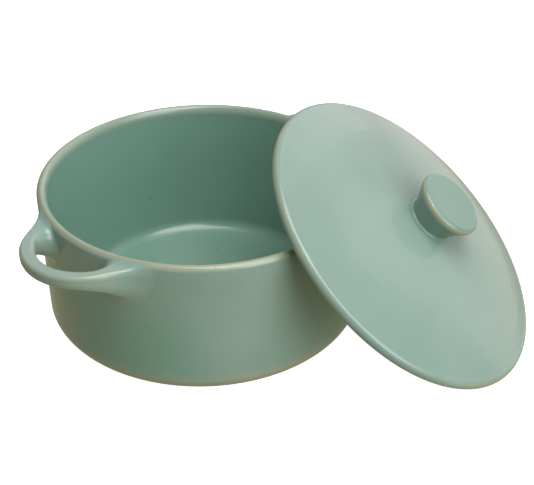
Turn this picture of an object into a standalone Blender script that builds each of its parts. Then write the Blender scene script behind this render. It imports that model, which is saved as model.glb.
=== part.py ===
"""Mini casserole dish: a small round stoneware pot with two ear handles and a
domed lid that leans against it. Metres, +Z up, origin at the middle of the
pot's flat base, the left ear handle on the -X axis.
"""

from math import asin, copysign, cos, degrees, hypot, pi, radians, sin, sqrt

import bmesh
import bpy
from mathutils import Euler, Matrix, Vector

# Pot, a turned bowl with a rounded rim, a wall that is thicker at the foot and a soft bottom corner
RIM_RADIUS = 0.0650
POT_HEIGHT = 0.0595
WALL = 0.0042
FOOT_WALL = 0.0110
WALL_TAPER = 0.0009
WALL_BULGE = 0.0003
CORNER_HEIGHT = 0.0084
CORNER_WIDTH = 0.0122
FLOOR = 0.0030
INNER_CORNER = 0.0050

# Ear handles, a bar bent round a finger gap and luted to the wall under the rim
LEFT_HANDLE_AZIMUTH = radians(180)
RIGHT_HANDLE_AZIMUTH = radians(-9)
HANDLE_REACH = 0.0197
HANDLE_LEG_SPACING = 0.0416
BAR_WIDTH = 0.0060
BAR_HEIGHT = 0.0056
BAR_EDGE = 0.0024
ROOT_FLARE_RATIO = 1.75
ROOT_LENGTH = 0.0110
ROOT_SPLAY = 0.0010
ROOT_DROP = 0.0063
DROP_LENGTH = 0.0145
RIM_STEP = 0.0017

# Lid, a domed disc as wide as the rim, with a locating flange that drops inside it
LID_RADIUS = RIM_RADIUS
LID_EDGE = 0.0050
LID_WALL = 0.0046
DOME_RISE = 0.0120
LID_PLAY = 0.0043
FLANGE_RADIUS = RIM_RADIUS - WALL - LID_PLAY
FLANGE_WALL = 0.0044
FLANGE_DEPTH = 0.0028

# Knob, flared like a trumpet with a dished top
KNOB_HEIGHT = 0.0119
KNOB_RADIUS = 0.0136
KNOB_EDGE = 0.0012
KNOB_EDGE_END = -30
KNOB_DISH = 0.0008
KNOB_RING = 0.0027
KNOB_SWEEP = 1.35
NECK_RADIUS = 0.0093
NECK_HEIGHT = 0.0010
KNOB_FOOT_RADIUS = 0.0108

# How the lid stands: its edge on the table, its flange on the rim and on a handle
LEAN_ANGLE = radians(39.9)
LEAN_AZIMUTH = radians(-66.7)

# Gap left at each luted joint and where the lid touches the rim
FIT_GAP = 0.0003

ROUND_STEPS = 64
KNOB_STEPS = 40
ARC_STEPS = 6
EDGE_STEPS = 4
DOME_STEPS = 8
HANDLE_STEPS = 32
CONTACT_STEPS = 180
SEARCH_ROUNDS = 20
CUTTER_HEADROOM = 0.0200
MERGE_DISTANCE = 0.00001
SHARP_ANGLE = radians(50)


def collection(name):
    group = bpy.data.collections.new(name)
    bpy.context.scene.collection.children.link(group)
    return group


def glaze(name, colour, roughness):
    material = bpy.data.materials.new(name)
    material.use_nodes = True
    shader = material.node_tree.nodes["Principled BSDF"]
    shader.inputs["Base Color"].default_value = (*colour, 1.0)
    shader.inputs["Roughness"].default_value = roughness
    shader.inputs["Metallic"].default_value = 0.0
    material.diffuse_color = (*colour, 1.0)
    return material


def arc(centre, radii, start, end, steps=ARC_STEPS):
    """Points along an elliptical arc in the (radius, height) plane, degrees."""
    angles = [radians(start + (end - start) * i / steps) for i in range(steps + 1)]
    return [(centre[0] + radii[0] * cos(a), centre[1] + radii[1] * sin(a)) for a in angles]


def turned(name, profile, steps, group, material=None):
    """A solid turned about its own Z axis from a profile that runs down its outside."""
    mesh = bpy.data.meshes.new(name)
    edges = [(i, i + 1) for i in range(len(profile) - 1)]
    mesh.from_pydata([(r, 0.0, z) for r, z in profile], edges, [])
    if material:
        mesh.materials.append(material)
    solid = bpy.data.objects.new(name, mesh)
    group.objects.link(solid)
    screw = solid.modifiers.new("Turn", "SCREW")
    screw.angle = 2 * pi
    screw.steps = steps
    screw.render_steps = steps
    screw.use_merge_vertices = True
    screw.merge_threshold = MERGE_DISTANCE
    screw.use_smooth_shade = True
    return solid


def wall_radius(share):
    """Outer wall radius from the rim's rounding (0) down to the bottom corner (1)."""
    return RIM_RADIUS - WALL_TAPER * share + WALL_BULGE * 4 * share * (1 - share)


def outer_wall(grow=0.0):
    """The pot's outside from under the rim to the edge of the flat base."""
    rim_foot = POT_HEIGHT - WALL / 2
    shares = [i / ARC_STEPS for i in range(ARC_STEPS)]
    wall = [
        (wall_radius(s) + grow, rim_foot + (CORNER_HEIGHT - rim_foot) * s) for s in shares
    ]
    corner_centre = (RIM_RADIUS - WALL_TAPER - CORNER_WIDTH, CORNER_HEIGHT)
    corner = arc(corner_centre, (CORNER_WIDTH + grow, CORNER_HEIGHT + grow), 0, -90)
    return wall + corner


def pot_profile():
    inner_foot = RIM_RADIUS - WALL_TAPER - FOOT_WALL
    inside = arc(
        (inner_foot - INNER_CORNER, FLOOR + INNER_CORNER),
        (INNER_CORNER, INNER_CORNER),
        -90,
        0,
    )
    rim_centre = (RIM_RADIUS - WALL / 2, POT_HEIGHT - WALL / 2)
    rim = arc(rim_centre, (WALL / 2, WALL / 2), 180, 0)
    return [(0.0, FLOOR), *inside, *rim[:-1], *outer_wall(), (0.0, 0.0)]


def bar_section(guides):
    """The handle bar's cross-section, an oblong with rounded edges."""
    half_width = BAR_WIDTH / 2 - BAR_EDGE
    half_height = BAR_HEIGHT / 2 - BAR_EDGE
    corners = [(1, 1, 0), (-1, 1, 90), (-1, -1, 180), (1, -1, 270)]
    outline = []
    for side, level, start in corners:
        centre = (side * half_width, level * half_height)
        outline += arc(centre, (BAR_EDGE, BAR_EDGE), start, start + 90, EDGE_STEPS)
    curve = bpy.data.curves.new("bar_section", "CURVE")
    curve.dimensions = "2D"
    spline = curve.splines.new("POLY")
    spline.points.add(len(outline) - 1)
    for point, (x, y) in zip(spline.points, outline):
        point.co = (x, y, 0.0, 1.0)
    spline.use_cyclic_u = True
    section = bpy.data.objects.new("bar_section", curve)
    guides.objects.link(section)
    return section


def nearness(off_wall, length):
    """How near the wall a place is: 1 on it, 0 from the given length away."""
    return min(max(1 - off_wall / length, 0.0), 1.0)


def root_flare(off_wall):
    """How much wider the bar is as it runs into the wall."""
    return 1 + (ROOT_FLARE_RATIO - 1) * nearness(off_wall, ROOT_LENGTH) ** 2


def handle_path():
    """Centre line of the bar as (outward, sideways, height, flare) stations.

    Seen from above it is half an ellipse whose two legs run into the wall. It
    swells and splays towards each leg's root while its top stays level.
    """
    root = RIM_RADIUS - WALL
    length = RIM_RADIUS + HANDLE_REACH - BAR_WIDTH / 2 - root
    top = POT_HEIGHT - RIM_STEP
    stations = []
    for i in range(HANDLE_STEPS + 1):
        turn = pi * i / HANDLE_STEPS
        outward = root + length * sin(turn)
        sideways = HANDLE_LEG_SPACING / 2 * cos(turn)
        off_wall = hypot(outward, sideways) - RIM_RADIUS
        flare = root_flare(off_wall)
        sideways += copysign(ROOT_SPLAY * nearness(off_wall, ROOT_LENGTH), sideways)
        height = top - flare * BAR_HEIGHT / 2
        stations.append((outward, sideways, height, flare))
    return stations


def deepen_roots(shell):
    """Lower the bar's underside in a wedge towards each root, its top left level."""
    top = POT_HEIGHT - RIM_STEP
    for vert in shell.verts:
        off_wall = hypot(vert.co.x, vert.co.y) - RIM_RADIUS
        depth = (top - vert.co.z) / (root_flare(off_wall) * BAR_HEIGHT)
        vert.co.z -= ROOT_DROP * nearness(off_wall, DROP_LENGTH) * depth


def handle_mesh(guides):
    """The swept bar as a closed mesh, its roots still running into the wall."""
    curve = bpy.data.curves.new("handle_path", "CURVE")
    curve.dimensions = "3D"
    curve.twist_mode = "Z_UP"
    curve.bevel_mode = "OBJECT"
    curve.bevel_object = bar_section(guides)
    curve.use_fill_caps = True
    stations = handle_path()
    spline = curve.splines.new("POLY")
    spline.points.add(len(stations) - 1)
    for point, (outward, sideways, height, flare) in zip(spline.points, stations):
        point.co = (outward, sideways, height, 1.0)
        point.radius = flare
    path = bpy.data.objects.new("handle_path", curve)
    guides.objects.link(path)
    depsgraph = bpy.context.evaluated_depsgraph_get()
    mesh = bpy.data.meshes.new_from_object(path.evaluated_get(depsgraph))
    bpy.data.objects.remove(path)
    shell = bmesh.new()
    shell.from_mesh(mesh)
    bmesh.ops.remove_doubles(shell, verts=shell.verts, dist=MERGE_DISTANCE)
    deepen_roots(shell)
    bmesh.ops.recalc_face_normals(shell, faces=shell.faces)
    shell.to_mesh(mesh)
    shell.free()
    mesh.shade_smooth()
    mesh.set_sharp_from_angle(angle=SHARP_ANGLE)
    return mesh


def handle(name, azimuth, mesh, cutter, group, material):
    ear = bpy.data.objects.new(name, mesh.copy())
    ear.data.name = name
    ear.data.materials.clear()
    ear.data.materials.append(material)
    group.objects.link(ear)
    ear.rotation_euler = (0.0, 0.0, azimuth)
    trim = ear.modifiers.new("Fit to wall", "BOOLEAN")
    trim.operation = "DIFFERENCE"
    trim.solver = "EXACT"
    trim.object = cutter
    return ear


def dome_top(radius):
    """Height of the lid's crown above the middle of its edge, a shallow cap."""
    foot = LID_RADIUS - LID_EDGE / 2
    cap_radius = (foot**2 + DOME_RISE**2) / (2 * DOME_RISE)
    return LID_EDGE / 2 + DOME_RISE - cap_radius + sqrt(cap_radius**2 - radius**2)


def lid_profile():
    foot = LID_RADIUS - LID_EDGE / 2
    crown = [(foot * i / DOME_STEPS, dome_top(foot * i / DOME_STEPS)) for i in range(DOME_STEPS)]
    cap_radius = (foot**2 + DOME_RISE**2) / (2 * DOME_RISE)
    edge_start = 90 - degrees(asin(foot / cap_radius))
    edge = arc((foot, 0.0), (LID_EDGE / 2, LID_EDGE / 2), edge_start, -90)
    flange_top = -LID_EDGE / 2
    flange_middle = FLANGE_RADIUS - FLANGE_WALL / 2
    flange_spine = flange_top - FLANGE_DEPTH + FLANGE_WALL / 2
    flange = arc((flange_middle, flange_spine), (FLANGE_WALL / 2, FLANGE_WALL / 2), 0, -180)
    hollow = FLANGE_RADIUS - FLANGE_WALL
    under = [
        (hollow * (1 - i / DOME_STEPS), dome_top(hollow * (1 - i / DOME_STEPS)) - LID_WALL)
        for i in range(DOME_STEPS + 1)
    ]
    return [*crown, *edge, (FLANGE_RADIUS, flange_top), *flange, *under]


def knob_profile():
    top = dome_top(0.0) + KNOB_HEIGHT
    shares = [i / EDGE_STEPS for i in range(EDGE_STEPS + 1)]
    dish = [((KNOB_RADIUS - KNOB_RING) * s, top - KNOB_DISH * (1 - s**2)) for s in shares]
    edge_centre = (KNOB_RADIUS - KNOB_EDGE, top - KNOB_EDGE)
    edge = arc(edge_centre, (KNOB_EDGE, KNOB_EDGE), 90, KNOB_EDGE_END, EDGE_STEPS)
    neck = dome_top(0.0) + NECK_HEIGHT
    start_radius, start_height = edge[-1]
    flare = []
    for i in range(1, ARC_STEPS + 1):
        share = i / ARC_STEPS
        flare.append(
            (
                NECK_RADIUS + (start_radius - NECK_RADIUS) * (1 - share) ** KNOB_SWEEP,
                start_height + (neck - start_height) * share,
            )
        )
    seat = dome_top(KNOB_FOOT_RADIUS) + FIT_GAP
    cove = [(KNOB_FOOT_RADIUS, seat + FIT_GAP), (KNOB_FOOT_RADIUS, seat)]
    under = [(0.0, dome_top(0.0) + FIT_GAP)]
    return [*dish, *edge, *flare, *cove, *under]


def flange_edge(reach, sideways):
    """Points along the core of the flange's rounded lower edge, lid leaning in place."""
    radius = FLANGE_RADIUS - FLANGE_WALL / 2
    drop = LID_EDGE / 2 + FLANGE_DEPTH - FLANGE_WALL / 2
    pose = lid_pose(reach, sideways)
    turns = [2 * pi * i / CONTACT_STEPS for i in range(CONTACT_STEPS)]
    return [pose @ Vector((radius * cos(a), radius * sin(a), -drop)) for a in turns]


def rim_clearance(reach, sideways):
    """Least gap between the leaning lid's flange and the pot's rim."""
    rim_core = RIM_RADIUS - WALL / 2
    rim_height = POT_HEIGHT - WALL / 2
    edge = flange_edge(reach, sideways)
    cores = min(hypot(hypot(p.x, p.y) - rim_core, p.z - rim_height) for p in edge)
    return cores - WALL / 2 - FLANGE_WALL / 2


def handle_clearance(reach, sideways):
    """Least gap between the leaning lid's flange and the right handle's bar."""
    stations = handle_path()
    to_handle = Matrix.Rotation(-RIGHT_HANDLE_AZIMUTH, 3, "Z")
    gaps = []
    for place in flange_edge(reach, sideways):
        point = to_handle @ place
        outward, across, height, flare = min(
            stations, key=lambda s: hypot(point.x - s[0], point.y - s[1])
        )
        beside = hypot(point.x - outward, point.y - across) - flare * (BAR_WIDTH / 2 - BAR_EDGE)
        above = abs(point.z - height) - flare * (BAR_HEIGHT / 2 - BAR_EDGE)
        gaps.append(hypot(max(beside, 0.0), max(above, 0.0)) - flare * BAR_EDGE)
    return min(gaps) - FLANGE_WALL / 2


def first_touch(clearance, clear, blocked):
    """The place between clear and blocked where the gap has come down to the fit gap."""
    for _ in range(SEARCH_ROUNDS):
        middle = (clear + blocked) / 2
        if clearance(middle) > FIT_GAP:
            clear = middle
        else:
            blocked = middle
    return clear


def lid_pose(reach, sideways):
    """Placement of the lid's edge centre, its lowest point on the table, leaning to the pot."""
    edge_drop = (LID_RADIUS - LID_EDGE / 2) * sin(LEAN_ANGLE) + LID_EDGE / 2
    flange_drop = (
        (FLANGE_RADIUS - FLANGE_WALL / 2) * sin(LEAN_ANGLE)
        + (LID_EDGE / 2 + FLANGE_DEPTH - FLANGE_WALL / 2) * cos(LEAN_ANGLE)
        + FLANGE_WALL / 2
    )
    height = max(edge_drop, flange_drop)
    lean = Euler((0.0, LEAN_ANGLE, LEAN_AZIMUTH)).to_matrix().to_4x4()
    ground = Matrix.Rotation(LEAN_AZIMUTH, 4, "Z") @ Vector((reach, sideways, height))
    return Matrix.Translation(ground) @ lean


def lid_stand(group):
    """An empty at the middle of the lid's edge, where rim and handle hold the lid up."""

    def reach_at(sideways):
        return first_touch(
            lambda reach: rim_clearance(reach, sideways), RIM_RADIUS + LID_RADIUS, RIM_RADIUS
        )

    sideways = first_touch(
        lambda shift: handle_clearance(reach_at(shift), shift), HANDLE_LEG_SPACING / 2, 0.0
    )
    stand = bpy.data.objects.new("lid_stand", None)
    stand.empty_display_size = LID_RADIUS
    stand.matrix_world = lid_pose(reach_at(sideways), sideways)
    group.objects.link(stand)
    return stand


for leftover in list(bpy.data.objects):
    bpy.data.objects.remove(leftover)

parts = collection("mini_casserole_dish")
cutters = collection("cutters")

pot_glaze = glaze("pot_glaze", (0.25, 0.40, 0.33), 0.42)
turned("pot_body", pot_profile(), ROUND_STEPS, parts, pot_glaze)

headroom = POT_HEIGHT + CUTTER_HEADROOM
wall_core = [
    (0.0, headroom),
    (RIM_RADIUS + FIT_GAP, headroom),
    *outer_wall(FIT_GAP),
    (0.0, -FIT_GAP),
]
wall_cutter = turned("wall_cutter", wall_core, ROUND_STEPS, cutters)

bar = handle_mesh(cutters)
left_glaze = glaze("left_handle_glaze", (0.31, 0.45, 0.38), 0.40)
handle("handle_left", LEFT_HANDLE_AZIMUTH, bar, wall_cutter, parts, left_glaze)
right_glaze = glaze("right_handle_glaze", (0.31, 0.45, 0.38), 0.40)
handle("handle_right", RIGHT_HANDLE_AZIMUTH, bar, wall_cutter, parts, right_glaze)

stand = lid_stand(parts)
lid_glaze = glaze("lid_glaze", (0.35, 0.51, 0.42), 0.42)
lid = turned("lid_dome", lid_profile(), ROUND_STEPS, parts, lid_glaze)
lid.parent = stand
knob_glaze = glaze("knob_glaze", (0.34, 0.50, 0.42), 0.40)
knob = turned("lid_knob", knob_profile(), KNOB_STEPS, parts, knob_glaze)
knob.parent = stand

for guide in cutters.objects:
    guide.hide_render = True
    guide.display_type = "WIRE"
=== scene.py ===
from math import asin, atan2, cos, degrees, hypot, pi, radians, sin, sqrt

import bmesh
import bpy
from mathutils import Euler, Matrix, Vector


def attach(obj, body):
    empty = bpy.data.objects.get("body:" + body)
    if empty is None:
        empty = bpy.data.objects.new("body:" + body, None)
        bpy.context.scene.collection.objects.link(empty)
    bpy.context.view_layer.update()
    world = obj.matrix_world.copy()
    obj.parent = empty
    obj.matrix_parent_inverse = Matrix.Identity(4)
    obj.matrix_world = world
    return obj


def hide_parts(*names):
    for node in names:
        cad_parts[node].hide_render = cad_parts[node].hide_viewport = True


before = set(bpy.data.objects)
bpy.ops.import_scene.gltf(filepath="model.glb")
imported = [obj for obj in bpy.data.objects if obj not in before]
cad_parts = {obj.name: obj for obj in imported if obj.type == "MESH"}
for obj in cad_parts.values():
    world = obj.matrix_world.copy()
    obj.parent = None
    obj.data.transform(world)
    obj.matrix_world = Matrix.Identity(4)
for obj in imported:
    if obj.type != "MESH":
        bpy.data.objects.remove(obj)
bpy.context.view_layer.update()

# The pot: a bowl thrown in stoneware, nearly upright in the wall and soft at the bottom corner.
# Its rim is sponged round. It is dipped in a sea-green glaze, a deeper green inside (more on
# the walls than the floor), that has run down the front and thins to tan on the rim and towards
# the base.
MM = 0.001
RIM_RADIUS = 65.0 * MM
POT_HEIGHT = 59.5 * MM
WALL = 4.2 * MM
FOOT_WALL = 11.0 * MM
RIM_OUTER_ROUND = 2.0 * MM
RIM_INNER_ROUND = 4.0 * MM
RIM_SPINE = POT_HEIGHT - RIM_OUTER_ROUND
RIM_START = POT_HEIGHT - RIM_INNER_ROUND
WALL_TAPER = 0.9 * MM
WALL_FOOT = RIM_RADIUS - WALL_TAPER
CORNER_WIDTH = 12.2 * MM
CORNER_HEIGHT = 8.4 * MM
FLOOR = 3.0 * MM
INNER_CORNER = 5.0 * MM
INNER_FOOT = WALL_FOOT - FOOT_WALL
INNER_LEAN = 8.5
FLOOR_STEPS = 8
WALL_STEPS = 12
CORNER_STEPS = 16
RIM_INNER_STEPS = 12
RIM_OUTER_STEPS = 10
WHEEL_STEPS = 192
WELD = 0.002 * MM

DEEP_GLAZE = (0.231, 0.346, 0.291)
PALE_GLAZE = (0.278, 0.389, 0.331)
DEEP_GREEN_GLAZE = (0.184, 0.352, 0.276)
BLUSH_GLAZE = (0.365, 0.395, 0.285)
TAN_GLAZE = (0.325, 0.325, 0.195)
IRON_SPECK = (0.060, 0.045, 0.030)
COAT_CLOUD = {"size": 40 * MM, "detail": 2.0}
COAT_DEEP, COAT_PALE = 0.30, 0.70
RAGGED_CLOUD = {"size": 5 * MM, "detail": 4.0}
RAGGED = 0.15
BLUSH_STOPS = [(0.05, (0.0, 0.0, 0.0)), (0.55, (0.6, 0.6, 0.6))]
TAN_STOPS = [(0.55, (0.0, 0.0, 0.0)), (1.0, (0.8, 0.8, 0.8))]
SPECK_STOPS = [(0.009, (0.4, 0.4, 0.4)), (0.022, (0.0, 0.0, 0.0))]
SPECK_SPACING = 30 * MM
SPECK_SHIFT = (-59.85 * MM, -101.02 * MM, 6.44 * MM)
GLAZE_IOR = 1.6
GLOSS_CLOUD = {"size": 9 * MM, "detail": 4.0}
GLOSSIEST, DULLEST = 0.16, 0.23
SKIN_CLOUD = {"size": 2.6 * MM, "detail": 3.0}
SKIN_STRENGTH = 0.25
SKIN_DEPTH = 0.12 * MM

INSIDE_THIN = 0.40
INSIDE_THIN_RISE = (53.0 * MM, 59.3 * MM)
FLOOR_DEEP_GREEN = 0.65
WALL_DEEP_GREEN = 0.20
WALL_DEEP_GREEN_RISE = (FLOOR + 1 * MM, FLOOR + 8 * MM)
DEEP_GREEN_TOP = (59.0 * MM, 55.0 * MM)
RIM_THIN = 0.65
RIM_THIN_RISE = (57.4 * MM, 58.7 * MM)
CREST_THIN = 0.25
CREST_RISE = (58.6 * MM, 59.4 * MM)
FOOT_THIN_FALL = (10.5 * MM, 4.8 * MM)
RUN_TOWARDS = radians(-160)
RUN_POOL = 0.85
RUN_SPREAD = (0.14, 0.0)
RUN_FALL = (48 * MM, 26 * MM)


def start_at(bm, across, up):
    return bm.verts.new((across, 0.0, up))


def line_to(bm, tip, across, up):
    end = bmesh.ops.extrude_vert_indiv(bm, verts=[tip])["verts"][0]
    end.co = (across, 0.0, up)
    return end


def curve_round(bm, tip, across, up, angle, steps, squeeze=1.0):
    before = set(bm.verts)
    made = bmesh.ops.spin(
        bm, geom=[tip], cent=(across, 0.0, up), axis=(0.0, 1.0, 0.0),
        angle=radians(angle), steps=steps,
    )
    bmesh.ops.scale(
        bm, vec=(1.0, 1.0, squeeze), verts=[v for v in bm.verts if v not in before],
        space=Matrix.Translation((-across, 0.0, -up)),
    )
    return [part for part in made["geom_last"] if isinstance(part, bmesh.types.BMVert)][0]


def turn_on_wheel(bm, steps=WHEEL_STEPS):
    bmesh.ops.spin(
        bm, geom=bm.verts[:] + bm.edges[:], cent=(0.0, 0.0, 0.0), axis=(0.0, 0.0, 1.0),
        angle=2 * pi, steps=steps, use_merge=True,
    )
    bmesh.ops.remove_doubles(bm, verts=bm.verts, dist=WELD)
    bmesh.ops.recalc_face_normals(bm, faces=bm.faces)


def fade(value, none, full):
    share = min(max((value - none) / (full - none), 0.0), 1.0)
    return share * share * (3 - 2 * share)


def fire(bm, name, glaze):
    mesh = bpy.data.meshes.new(name)
    bm.to_mesh(mesh)
    bm.free()
    mesh.shade_smooth()
    mesh.materials.append(glaze)
    piece = bpy.data.objects.new(name, mesh)
    bpy.context.scene.collection.objects.link(piece)
    return piece


def cloud(tree, size, detail):
    place = tree.nodes.new("ShaderNodeTexCoord")
    noise = tree.nodes.new("ShaderNodeTexNoise")
    noise.inputs["Scale"].default_value = 1 / size
    noise.inputs["Detail"].default_value = detail
    tree.links.new(place.outputs["Object"], noise.inputs["Vector"])
    return noise.outputs[0]


def stops(tree, source, pairs):
    ramp = tree.nodes.new("ShaderNodeValToRGB")
    ramp.color_ramp.elements[0].position = pairs[0][0]
    ramp.color_ramp.elements[1].position = pairs[1][0]
    for place, _ in pairs[2:]:
        ramp.color_ramp.elements.new(place)
    for element, (_, colour) in zip(ramp.color_ramp.elements, pairs):
        element.color = (*colour, 1.0)
    tree.links.new(source, ramp.inputs[0])
    return ramp.outputs[0]


def laid_over(tree, amount, under, colour):
    mix = tree.nodes.new("ShaderNodeMix")
    mix.data_type = "RGBA"
    tree.links.new(amount, mix.inputs[0])
    tree.links.new(under, mix.inputs[6])
    mix.inputs[7].default_value = (*colour, 1.0)
    return mix.outputs[2]


def spread(tree, source, low, high, from_low=0.0, from_high=1.0):
    reach = tree.nodes.new("ShaderNodeMapRange")
    reach.inputs["From Min"].default_value = from_low
    reach.inputs["From Max"].default_value = from_high
    reach.inputs["To Min"].default_value = low
    reach.inputs["To Max"].default_value = high
    tree.links.new(source, reach.inputs["Value"])
    return reach.outputs[0]


def dipped_glaze(name, deep=DEEP_GLAZE, pale=PALE_GLAZE):
    material = bpy.data.materials.new(name)
    material.use_nodes = True
    tree = material.node_tree
    shader = tree.nodes["Principled BSDF"]

    coat = stops(tree, cloud(tree, **COAT_CLOUD), [(COAT_DEEP, deep), (COAT_PALE, pale)])
    deep_green = tree.nodes.new("ShaderNodeAttribute")
    deep_green.attribute_name = "deep_green"
    deepened = laid_over(tree, deep_green.outputs["Fac"], coat, DEEP_GREEN_GLAZE)

    # This attribute carries thin glaze, and on the ears' crisp top-outer edges also a painted
    # highlight.
    edge = tree.nodes.new("ShaderNodeAttribute")
    edge.attribute_name = "thin_glaze_and_highlight"
    ragged = tree.nodes.new("ShaderNodeMath")
    ragged.operation = "ADD"
    tree.links.new(edge.outputs["Fac"], ragged.inputs[0])
    tree.links.new(spread(tree, cloud(tree, **RAGGED_CLOUD), -RAGGED, RAGGED), ragged.inputs[1])
    blush_share = stops(tree, ragged.outputs[0], BLUSH_STOPS)
    tan_share = stops(tree, ragged.outputs[0], TAN_STOPS)
    blushed = laid_over(tree, blush_share, deepened, BLUSH_GLAZE)
    blush_and_tan = laid_over(tree, tan_share, blushed, TAN_GLAZE)

    place = tree.nodes.new("ShaderNodeTexCoord")
    shift = tree.nodes.new("ShaderNodeMapping")
    shift.inputs["Location"].default_value = SPECK_SHIFT
    tree.links.new(place.outputs["Object"], shift.inputs["Vector"])
    grain = tree.nodes.new("ShaderNodeTexVoronoi")
    grain.inputs["Scale"].default_value = 1 / SPECK_SPACING
    tree.links.new(shift.outputs[0], grain.inputs["Vector"])
    specks = stops(tree, grain.outputs["Distance"], SPECK_STOPS)
    speckled = laid_over(tree, specks, blush_and_tan, IRON_SPECK)
    tree.links.new(speckled, shader.inputs["Base Color"])

    gloss = spread(tree, cloud(tree, **GLOSS_CLOUD), GLOSSIEST, DULLEST)
    tree.links.new(gloss, shader.inputs["Roughness"])
    shader.inputs["IOR"].default_value = GLAZE_IOR
    skin = tree.nodes.new("ShaderNodeBump")
    skin.inputs["Strength"].default_value = SKIN_STRENGTH
    skin.inputs["Distance"].default_value = SKIN_DEPTH
    tree.links.new(cloud(tree, **SKIN_CLOUD), skin.inputs["Height"])
    tree.links.new(skin.outputs[0], shader.inputs["Normal"])
    return material


clay = bmesh.new()
tip = start_at(clay, 0.0, FLOOR)
for step in range(1, FLOOR_STEPS + 1):
    tip = line_to(clay, tip, (INNER_FOOT - INNER_CORNER) * step / FLOOR_STEPS, FLOOR)
tip = curve_round(
    clay, tip, INNER_FOOT - INNER_CORNER, FLOOR + INNER_CORNER, INNER_LEAN - 90, CORNER_STEPS
)
wall_start = tip.co.copy()
for step in range(1, WALL_STEPS + 1):
    tip = line_to(
        clay, tip, wall_start.x + (RIM_RADIUS - WALL - wall_start.x) * step / WALL_STEPS,
        wall_start.z + (RIM_START - wall_start.z) * step / WALL_STEPS,
    )
tip = curve_round(
    clay, tip, RIM_RADIUS - RIM_OUTER_ROUND, RIM_START, 90, RIM_INNER_STEPS,
    RIM_INNER_ROUND / (WALL - RIM_OUTER_ROUND),
)
tip = curve_round(clay, tip, RIM_RADIUS - RIM_OUTER_ROUND, RIM_SPINE, 90, RIM_OUTER_STEPS)
for step in range(1, WALL_STEPS + 1):
    tip = line_to(
        clay, tip, RIM_RADIUS - WALL_TAPER * step / WALL_STEPS,
        RIM_SPINE + (CORNER_HEIGHT - RIM_SPINE) * step / WALL_STEPS,
    )
tip = curve_round(
    clay, tip, WALL_FOOT - CORNER_WIDTH, CORNER_HEIGHT, 90, CORNER_STEPS,
    CORNER_HEIGHT / CORNER_WIDTH,
)
line_to(clay, tip, 0.0, 0.0)
turn_on_wheel(clay)

thin_glaze_and_highlight = clay.verts.layers.float.new("thin_glaze_and_highlight")
deep_green = clay.verts.layers.float.new("deep_green")
for vert in clay.verts:
    up = vert.co.z
    inner_edge = RIM_RADIUS - (RIM_OUTER_ROUND if up > RIM_SPINE - RIM_INNER_ROUND else WALL)
    if up > FLOOR - WELD and hypot(vert.co.x, vert.co.y) < inner_edge + WELD:
        # Inside the pot the glaze is a deeper green, more on the walls than the floor, fading
        # out below the rim.
        deepened = FLOOR_DEEP_GREEN + WALL_DEEP_GREEN * fade(up, *WALL_DEEP_GREEN_RISE)
        vert[thin_glaze_and_highlight] = INSIDE_THIN * fade(up, *INSIDE_THIN_RISE)
        vert[deep_green] = deepened * fade(up, *DEEP_GREEN_TOP)
    else:
        rim = (RIM_THIN + CREST_THIN * fade(up, *CREST_RISE)) * fade(up, *RIM_THIN_RISE)
        off_run = 1 - cos(atan2(vert.co.y, vert.co.x) - RUN_TOWARDS)
        vert[thin_glaze_and_highlight] = max(rim, fade(up, *FOOT_THIN_FALL))
        vert[deep_green] = RUN_POOL * fade(off_run, *RUN_SPREAD) * fade(up, *RUN_FALL)

pot = fire(clay, "glazed_pot", dipped_glaze("pot_glaze_dipped"))
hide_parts("pot_body")
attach(pot, "pot")

# The ear handles: two bars of clay bent round a finger gap, their ends spread and smoothed
# on to the wall with slip, just under the rim, before the pot is dipped.
EAR_ROOT = RIM_RADIUS - WALL
EAR_LENGTH = 20.9 * MM
EAR_TOP = POT_HEIGHT - 1.7 * MM
BAR_WIDTH = 6.0 * MM
BAR_HEIGHT = 5.6 * MM
CRISP_EDGE = 1.4 * MM
BAR_EDGES = {(1, 1): CRISP_EDGE, (-1, 1): 2.3 * MM, (-1, -1): 2.5 * MM, (1, -1): 2.5 * MM}
EDGE_STEPS = 7
SHORTEST_FLAT = 0.8 * MM
FLAT_CUTS = 3
ROOT_LENGTH = 14.0 * MM
ROOT_HUG = 3.0 * MM
ROOT_SUNK = 0.05 * MM
ROOT_END = -0.4 * MM
ROOT_GAP = 8.0 * MM
ROOT_STEPS = 24
BAR_STEPS = 20
WEDGE_LENGTH = 14.5 * MM
WEDGE_DEPTH = 10.0 * MM
WEDGE_SWEEP = 1.5
WEDGE_FILLET = 2.5 * MM
INSIDE_LENGTH = 8.0 * MM
INSIDE_SPREAD = 4.6 * MM
INSIDE_SWEEP = 1.6
INSIDE_FILLET = 1.2 * MM
OUTSIDE_LENGTH = 8.0 * MM
OUTSIDE_LOW_SHARE = 0.45
TOP_LENGTH = 3.0 * MM
BAR_THIN = 0.25
# The crisp top-outer edge of each bar is pale tan: partly the glaze thinning there, partly a
# painted highlight.
EDGE_TAN_AND_HIGHLIGHT = 0.7
EDGE_TAN_AND_HIGHLIGHT_GAP = (0.9 * MM, 0.2 * MM)
EDGE_INSET = 0.3 * CRISP_EDGE
ROOT_THIN_AND_HIGHLIGHT_GAP = 1 * MM
ROOT_THIN_AND_HIGHLIGHT = 0.5
EARS = {
    "left": {
        "bearing": radians(180), "half_span": 20.8 * MM,
        "outside_spread": 13.0 * MM, "top_rise": 1.5 * MM,
    },
    "right": {
        "bearing": radians(-9), "half_span": 19.8 * MM,
        "outside_spread": 3.0 * MM, "top_rise": -1.2 * MM,
    },
}


def wall_at(up):
    if up > RIM_SPINE:
        over = min(up - RIM_SPINE, RIM_OUTER_ROUND)
        return RIM_RADIUS - RIM_OUTER_ROUND + sqrt(RIM_OUTER_ROUND**2 - over**2)
    return RIM_RADIUS - WALL_TAPER * (RIM_SPINE - up) / (RIM_SPINE - CORNER_HEIGHT)


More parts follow.
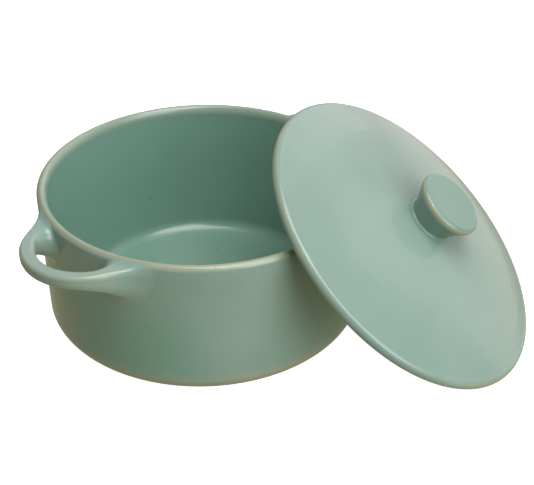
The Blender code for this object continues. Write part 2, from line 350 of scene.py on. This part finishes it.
def nearness(gap, length):
    return min(max(1 - gap / length, 0.0), 1.0)


def fillet(gap, length, reach):
    return reach * (1 - sqrt(1 - nearness(gap, length) ** 2))


def wedge(gap, length, reach, sweep):
    return reach * nearness(gap, length) ** sweep


def turn_at(gap, half_span):
    square = EAR_LENGTH**2 - half_span**2
    half = EAR_ROOT * EAR_LENGTH
    rest = EAR_ROOT**2 + half_span**2 - (RIM_RADIUS + gap) ** 2
    return asin((sqrt(half**2 - square * rest) - half) / square)


def bar_point(across, up, turn, half_span, outside_spread, top_rise):
    out = EAR_ROOT + EAR_LENGTH * sin(turn)
    side = half_span * cos(turn)
    gap = hypot(out, side) - RIM_RADIUS
    bearing = atan2(side, out)
    square = Vector((half_span * sin(turn), EAR_LENGTH * cos(turn))).normalized()
    along_wall = Vector((-sin(bearing), cos(bearing)))
    hug = fade(gap, ROOT_LENGTH, ROOT_HUG)
    axis = square.lerp(along_wall, hug).normalized()
    lowness = 0.5 - up / BAR_HEIGHT
    if across > 0:
        widening = fillet(gap, OUTSIDE_LENGTH, outside_spread)
        widening *= 1 + (OUTSIDE_LOW_SHARE - 1) * lowness
    else:
        widening = wedge(gap, INSIDE_LENGTH, INSIDE_SPREAD, INSIDE_SWEEP)
        widening += fillet(gap, INSIDE_FILLET, INSIDE_FILLET)
    reach = across / axis.dot(square) + across / (BAR_WIDTH / 2) * widening
    depth = wedge(gap, WEDGE_LENGTH, WEDGE_DEPTH, WEDGE_SWEEP)
    depth += fillet(gap, WEDGE_FILLET, WEDGE_FILLET)
    rise = fillet(gap, TOP_LENGTH, top_rise)
    level = EAR_TOP - BAR_HEIGHT / 2 + up - depth * lowness + rise * (1 - lowness)
    straight = Vector((out, side)) + axis * reach
    round_off = bearing + reach / RIM_RADIUS
    on_wall = Vector((cos(round_off), sin(round_off))) * (wall_at(level) + gap - ROOT_SUNK)
    place = straight.lerp(on_wall, hug)
    return Vector((place.x, place.y, level))


def ear_handle(name, glaze, bearing, half_span, outside_spread, top_rise):
    clay = bmesh.new()
    corners = {
        (side, level): clay.verts.new((side * BAR_WIDTH / 2, 0.0, level * BAR_HEIGHT / 2))
        for side, level in BAR_EDGES
    }
    clay.faces.new(list(corners.values()))
    for corner, vert in corners.items():
        bmesh.ops.bevel(
            clay, geom=[vert], offset=BAR_EDGES[corner], segments=EDGE_STEPS, profile=0.5,
            affect="VERTICES", material=-1,
        )
    flats = [edge for edge in clay.edges if edge.calc_length() > SHORTEST_FLAT]
    bmesh.ops.subdivide_edges(clay, edges=flats, cuts=FLAT_CUTS)
    bmesh.ops.delete(clay, geom=clay.faces[:], context="FACES_ONLY")

    across = clay.verts.layers.float.new("across")
    up = clay.verts.layers.float.new("up")
    thin_glaze_and_highlight = clay.verts.layers.float.new("thin_glaze_and_highlight")
    crisp = Vector((BAR_WIDTH / 2 - EDGE_INSET, 0.0, BAR_HEIGHT / 2 - EDGE_INSET))
    for vert in clay.verts:
        vert[across] = vert.co.x
        vert[up] = vert.co.z
        # Pale tan along the crisp top-outer edge: part thin glaze, part painted highlight.
        edge_gap = (vert.co - crisp).length
        vert[thin_glaze_and_highlight] = max(BAR_THIN, EDGE_TAN_AND_HIGHLIGHT * fade(edge_gap, *EDGE_TAN_AND_HIGHLIGHT_GAP))

    bar_end = turn_at(ROOT_GAP, half_span)
    turns = [pi / 2 + (bar_end - pi / 2) * step / BAR_STEPS for step in range(BAR_STEPS + 1)]
    for step in range(1, ROOT_STEPS + 1):
        turns.append(turn_at(ROOT_GAP * (1 - sin(pi / 2 * step / ROOT_STEPS)), half_span))
    turns.append(turn_at(ROOT_END, half_span))
    thin_and_highlight_end = turn_at(ROOT_THIN_AND_HIGHLIGHT_GAP, half_span)
    shape = (half_span, outside_spread, top_rise)
    ring = clay.edges[:]
    for vert in clay.verts:
        vert.co = bar_point(vert[across], vert[up], turns[0], *shape)
    for turn in turns[1:]:
        made = bmesh.ops.extrude_edge_only(clay, edges=ring)["geom"]
        ring = [part for part in made if isinstance(part, bmesh.types.BMEdge)]
        for vert in {vert for edge in ring for vert in edge.verts}:
            vert.co = bar_point(vert[across], vert[up], turn, *shape)
            # Towards the root the thin glaze and the painted edge highlight fade out.
            vert[thin_glaze_and_highlight] *= ROOT_THIN_AND_HIGHLIGHT + (1 - ROOT_THIN_AND_HIGHLIGHT) * fade(turn, thin_and_highlight_end, bar_end)
    bmesh.ops.edgeloop_fill(clay, edges=ring)
    bmesh.ops.mirror(
        clay, geom=clay.verts[:] + clay.edges[:] + clay.faces[:], matrix=Matrix.Identity(4),
        merge_dist=WELD, axis="Y",
    )
    bmesh.ops.remove_doubles(clay, verts=clay.verts, dist=WELD)
    bmesh.ops.rotate(
        clay, verts=clay.verts, cent=(0.0, 0.0, 0.0), matrix=Matrix.Rotation(bearing, 3, "Z")
    )
    bmesh.ops.recalc_face_normals(clay, faces=clay.faces)
    return fire(clay, name, glaze)


for side, sizes in EARS.items():
    ear = ear_handle(f"{side}_ear", dipped_glaze(f"{side}_ear_glaze"), **sizes)
    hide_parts(f"handle_{side}")
    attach(ear, "pot")

# The lid: a shallow dome thrown upside down, its edge rounded, with a low ring turned under it
# that sits inside the rim. Faint rings are left from the throwing. It stands on its edge and
# leans on the rim and the right handle.
LID_RADIUS = 65.0 * MM
LID_EDGE = 5.0 * MM
LID_FOOT = LID_RADIUS - LID_EDGE / 2
LID_WALL = 4.6 * MM
DOME_RISE = 12.0 * MM
DOME_TOP = LID_EDGE / 2 + DOME_RISE
DOME_RADIUS = (LID_FOOT**2 + DOME_RISE**2) / (2 * DOME_RISE)
DOME_CENTRE = DOME_TOP - DOME_RADIUS
DOME_ANGLE = atan2(LID_FOOT, DOME_RADIUS - DOME_RISE)
RING_RADIUS = 56.5 * MM
RING_WALL = 4.4 * MM
RING_DEPTH = 2.8 * MM
RING_SPINE = RING_WALL / 2 - LID_EDGE / 2 - RING_DEPTH
DOME_STEPS = 96
LID_EDGE_STEPS = 16
RING_STEPS = 12
UNDER_STEPS = 24
RIPPLE = 0.014 * MM
RIPPLE_PITCH = 5.0 * MM
RIPPLE_START = (16 * MM, 40 * MM)
RIPPLE_END = (62 * MM, 58 * MM)
LID_DEEP = (0.227, 0.337, 0.277)
LID_PALE = (0.262, 0.370, 0.312)
LID_THIN = (63.5 * MM, 64.7 * MM)
LOW_EDGE = radians(-10)
LOW_THIN = 0.8
LOW_THIN_TURN = (0.6, 1.0)
HIGH_THIN = 0.55
HIGH_THIN_TURN = (0.0, 0.8)
LID_PLACE = Vector((39.01, -72.12, 42.59)) * MM
LID_LEAN = Euler((0.0, radians(39.9), radians(-66.7)))
LEANING = Matrix.Translation(LID_PLACE) @ LID_LEAN.to_matrix().to_4x4()


def dome_at(across):
    return DOME_CENTRE + sqrt(DOME_RADIUS**2 - across**2)


clay = bmesh.new()
tip = start_at(clay, 0.0, DOME_TOP)
tip = curve_round(clay, tip, 0.0, DOME_CENTRE, degrees(DOME_ANGLE), DOME_STEPS)
tip = line_to(
    clay, tip, LID_FOOT + LID_EDGE / 2 * sin(DOME_ANGLE), LID_EDGE / 2 * cos(DOME_ANGLE)
)
tip = curve_round(clay, tip, LID_FOOT, 0.0, 180 - degrees(DOME_ANGLE), LID_EDGE_STEPS)
tip = line_to(clay, tip, RING_RADIUS, -LID_EDGE / 2)
tip = line_to(clay, tip, RING_RADIUS, RING_SPINE)
tip = curve_round(clay, tip, RING_RADIUS - RING_WALL / 2, RING_SPINE, 180, RING_STEPS)
for step in range(UNDER_STEPS + 1):
    across = (RING_RADIUS - RING_WALL) * (1 - step / UNDER_STEPS)
    tip = line_to(clay, tip, across, dome_at(across) - LID_WALL)
turn_on_wheel(clay)

thin_glaze_and_highlight = clay.verts.layers.float.new("thin_glaze_and_highlight")
for vert in clay.verts:
    round_off = hypot(vert.co.x, vert.co.y)
    towards = atan2(vert.co.y, vert.co.x)
    low = LOW_THIN * fade(cos(towards - LOW_EDGE), *LOW_THIN_TURN)
    high = HIGH_THIN * fade(-cos(towards), *HIGH_THIN_TURN)
    vert[thin_glaze_and_highlight] = max(low, high) * fade(round_off, *LID_THIN)
    if vert.co.z > 0 and round_off < LID_FOOT:
        ripple = RIPPLE * sin(2 * pi * round_off / RIPPLE_PITCH)
        vert.co.z += ripple * fade(round_off, *RIPPLE_START) * fade(round_off, *RIPPLE_END)
bmesh.ops.transform(clay, matrix=LEANING, verts=clay.verts)

lid = fire(clay, "glazed_lid", dipped_glaze("lid_glaze_dipped", LID_DEEP, LID_PALE))
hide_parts("lid_dome")
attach(lid, "lid")

# The knob: a small trumpet of clay, dished on top and soft at the lip, its foot smoothed on
# to the middle of the lid with slip. The glaze is darker here and breaks to tan on the lip.
KNOB_TOP = DOME_TOP + 11.9 * MM
KNOB_RADIUS = 13.6 * MM
KNOB_LIP = 1.9 * MM
KNOB_LIP_TURN = 120
KNOB_DISH = 0.7 * MM
KNOB_SWEEP = 1.35
NECK_RADIUS = 9.3 * MM
NECK_UP = DOME_TOP + 0.6 * MM
KNOB_FOOT = 10.8 * MM
COVE_WIDTH = KNOB_FOOT - NECK_RADIUS
COVE_HEIGHT = NECK_UP - dome_at(KNOB_FOOT)
DISH_STEPS = 16
LIP_STEPS = 10
NECK_STEPS = 16
COVE_STEPS = 8
KNOB_WHEEL_STEPS = 128
KNOB_DEEP = (0.186, 0.300, 0.243)
KNOB_PALE = (0.216, 0.330, 0.273)
LIP_THIN = 0.9
LIP_THIN_GAP = (1.7 * MM, 0.6 * MM)

clay = bmesh.new()
tip = start_at(clay, 0.0, KNOB_TOP - KNOB_DISH)
for step in range(1, DISH_STEPS + 1):
    share = step / DISH_STEPS
    dish = KNOB_DISH * (1 - share**2) ** 2
    tip = line_to(clay, tip, (KNOB_RADIUS - KNOB_LIP) * share, KNOB_TOP - dish)
tip = curve_round(
    clay, tip, KNOB_RADIUS - KNOB_LIP, KNOB_TOP - KNOB_LIP, KNOB_LIP_TURN, LIP_STEPS
)
lip = tip.co.copy()
for step in range(1, NECK_STEPS + 1):
    share = step / NECK_STEPS
    tip = line_to(
        clay, tip, NECK_RADIUS + (lip.x - NECK_RADIUS) * (1 - share) ** KNOB_SWEEP,
        lip.z + (NECK_UP - lip.z) * share,
    )
tip = curve_round(clay, tip, KNOB_FOOT, NECK_UP, -90, COVE_STEPS, COVE_HEIGHT / COVE_WIDTH)
line_to(clay, tip, 0.0, dome_at(KNOB_FOOT))
turn_on_wheel(clay, KNOB_WHEEL_STEPS)

thin_glaze_and_highlight = clay.verts.layers.float.new("thin_glaze_and_highlight")
for vert in clay.verts:
    round_off = hypot(vert.co.x, vert.co.y)
    lip_gap = hypot(round_off - KNOB_RADIUS, vert.co.z - KNOB_TOP + KNOB_LIP)
    vert[thin_glaze_and_highlight] = LIP_THIN * fade(lip_gap, *LIP_THIN_GAP)
bmesh.ops.transform(clay, matrix=LEANING, verts=clay.verts)

knob = fire(clay, "glazed_knob", dipped_glaze("knob_glaze_dipped", KNOB_DEEP, KNOB_PALE))
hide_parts("lid_knob")
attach(knob, "lid")

# The table: a sheet of smooth white board that the pot and the lid's edge stand on. It is lit
# through from below, so it stays white up to the edges of the clay.
BOARD_HALF = 6.0
BOARD_WHITE = (0.86, 0.86, 0.855)
BOARD_GREY = tuple(tone * 0.985 for tone in BOARD_WHITE)
BOARD_CLOUD = {"size": 120 * MM, "detail": 2.0}
BOARD_ROUGHNESS = 0.9
BOARD_GLOW = 0.95

board = bmesh.new()
bmesh.ops.create_grid(board, x_segments=1, y_segments=1, size=BOARD_HALF)
paper = bpy.data.materials.new("white_board")
paper.use_nodes = True
sheet = paper.node_tree
surface = sheet.nodes["Principled BSDF"]
fibre = stops(sheet, cloud(sheet, **BOARD_CLOUD), [(0.3, BOARD_GREY), (0.7, BOARD_WHITE)])
sheet.links.new(fibre, surface.inputs["Base Color"])
surface.inputs["Roughness"].default_value = BOARD_ROUGHNESS
surface.inputs["Emission Color"].default_value = (1.0, 1.0, 1.0, 1.0)
surface.inputs["Emission Strength"].default_value = BOARD_GLOW
table = fire(board, "table", paper)
table.visible_diffuse = False
table.visible_glossy = False
table.visible_shadow = False

# The studio: a dim room that is warmer towards the floor, with square soft lights overhead, in
# front, low in front and behind. A pale backdrop at the right only shows in the glaze, as the
# sheen on the lid.
LOOK_AT = Vector((17.25, -19.00, 28.31)) * MM
ROOM_SHADES = [
    (0.28, (0.41, 0.39, 0.235)), (0.47, (0.23, 0.22, 0.19)), (0.56, (0.13, 0.13, 0.13)),
]

room = bpy.data.worlds.new("white_room")
room.use_nodes = True
walls = room.node_tree
direction = walls.nodes.new("ShaderNodeTexCoord")
height = walls.nodes.new("ShaderNodeSeparateXYZ")
walls.links.new(direction.outputs["Generated"], height.inputs[0])
shade = stops(walls, spread(walls, height.outputs["Z"], 0.0, 1.0, -1.0, 1.0), ROOM_SHADES)
walls.links.new(shade, walls.nodes["Background"].inputs["Color"])
bpy.context.scene.world = room


def soft_light(name, place, size, power, tint=(1.0, 1.0, 1.0)):
    panel = bpy.data.lights.new(name, "AREA")
    panel.shape = "SQUARE"
    panel.size = size
    panel.energy = power
    panel.color = tint
    lamp = bpy.data.objects.new(name, panel)
    lamp.location = place
    lamp.rotation_euler = (LOOK_AT - Vector(place)).to_track_quat("-Z", "Y").to_euler()
    bpy.context.scene.collection.objects.link(lamp)
    return lamp


soft_light("overhead_light", place=(0.01, -0.20, 1.31), size=0.8, power=8.4)
soft_light("key_light", place=(-0.20, -0.75, 1.08), size=0.8, power=6.9)
soft_light("low_light", place=(-0.06, -1.26, 0.42), size=0.9, power=8.5, tint=(0.95, 1.0, 1.05))
soft_light("back_light", place=(0.79, 0.68, 0.81), size=1.4, power=3.4)
backdrop = soft_light(
    "backdrop", place=(1.25, -0.08, 0.38), size=1.6, power=5.8, tint=(1.0, 0.84, 0.86)
)
backdrop.visible_diffuse = False

# The camera: it stands in front of the pot and looks down on it, at the photograph's angle,
# with a long lens and everything in focus.
CAMERA_PLACE = Vector((-288.2, -296.3, 295.65)) * MM
CAMERA_LENS = 80.9
CAMERA_SENSOR = 36.0

lens = bpy.data.cameras.new("camera")
lens.sensor_width = CAMERA_SENSOR
lens.lens = CAMERA_LENS
camera = bpy.data.objects.new("camera", lens)
camera.location = CAMERA_PLACE
camera.rotation_euler = (LOOK_AT - CAMERA_PLACE).to_track_quat("-Z", "Y").to_euler()
bpy.context.scene.collection.objects.link(camera)
bpy.context.scene.camera = camera
bpy.context.scene.view_settings.view_transform = "Standard"
